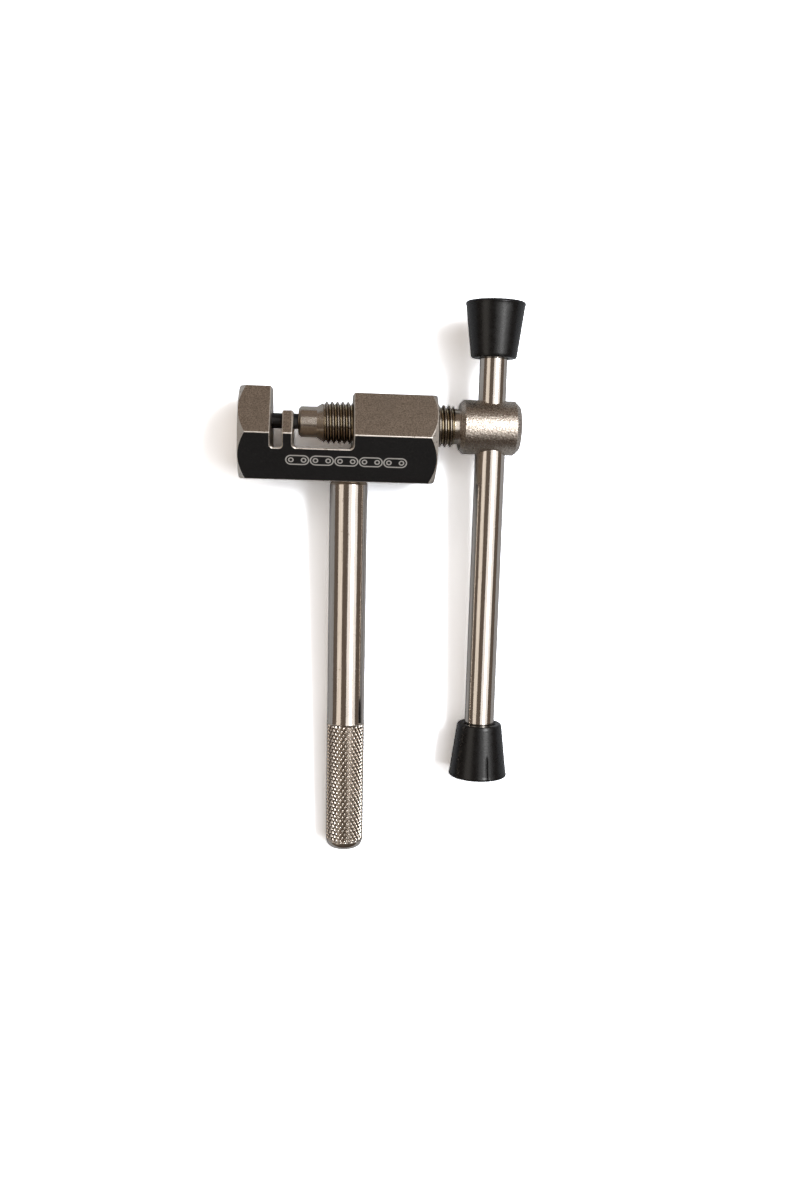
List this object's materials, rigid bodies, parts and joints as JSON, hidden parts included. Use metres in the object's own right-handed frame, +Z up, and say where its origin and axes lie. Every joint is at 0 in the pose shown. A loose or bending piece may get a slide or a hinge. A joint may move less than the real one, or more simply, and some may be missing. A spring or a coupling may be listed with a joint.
{
  "type": "chain tool",
  "caption": "Hexagonal-bodied bicycle chain rivet extractor with a knurled handle and a sliding T-bar on its drive screw.",
  "frame": {"origin": "middle of the tool's footprint, on the surface that it lies on", "axes": "+X along the screw towards the T-bar, +Y from the handle's tip towards the T-bar's upper cap, +Z up"},
  "size_m": [0.0662, 0.1328, 0.0244],
  "materials": {
    "nickel_body": "satin nickel plating, two lower slopes blackened",
    "nickel_handle": "bright nickel plating, knurled at the end",
    "nickel_screw": "nickel plating over a rough barrel head and a cut thread",
    "black_pin": "black oxide on hardened steel",
    "nickel_bar": "bright nickel plating",
    "black_rubber": "moulded satin rubber"
  },
  "bodies": {
    "tool_frame": {"tool_body": "nickel_body", "handle_stem": "nickel_handle"},
    "pin_carriage": {"drive_pin": "black_pin"},
    "spindle": {"drive_screw": "nickel_screw", "pin_holder": "nickel_screw"},
    "t_bar": {"tommy_bar": "nickel_bar", "upper_cap": "black_rubber", "lower_cap": "black_rubber"}
  },
  "joints": [
    {"name": "screw_feed", "type": "slide", "parent": "tool_frame", "child": "pin_carriage", "axis": [-1, 0, 0], "range_m": [-0.01125, 0.001]},
    {"name": "screw_turn", "type": "hinge", "parent": "pin_carriage", "child": "spindle", "pos_m": [-0.02183, 0.03659, 0.01243], "axis": [-1, 0, 0], "range_deg": [-3240, 288]},
    {"name": "bar_slide", "type": "slide", "parent": "spindle", "child": "t_bar", "axis": [0, -0.9979, -0.0648], "range_m": [0, 0.0095]}
  ],
  "couplings": [
    {"joint": "screw_feed", "follows": "screw_turn", "m_per_rad": 0.00019894}
  ]
}
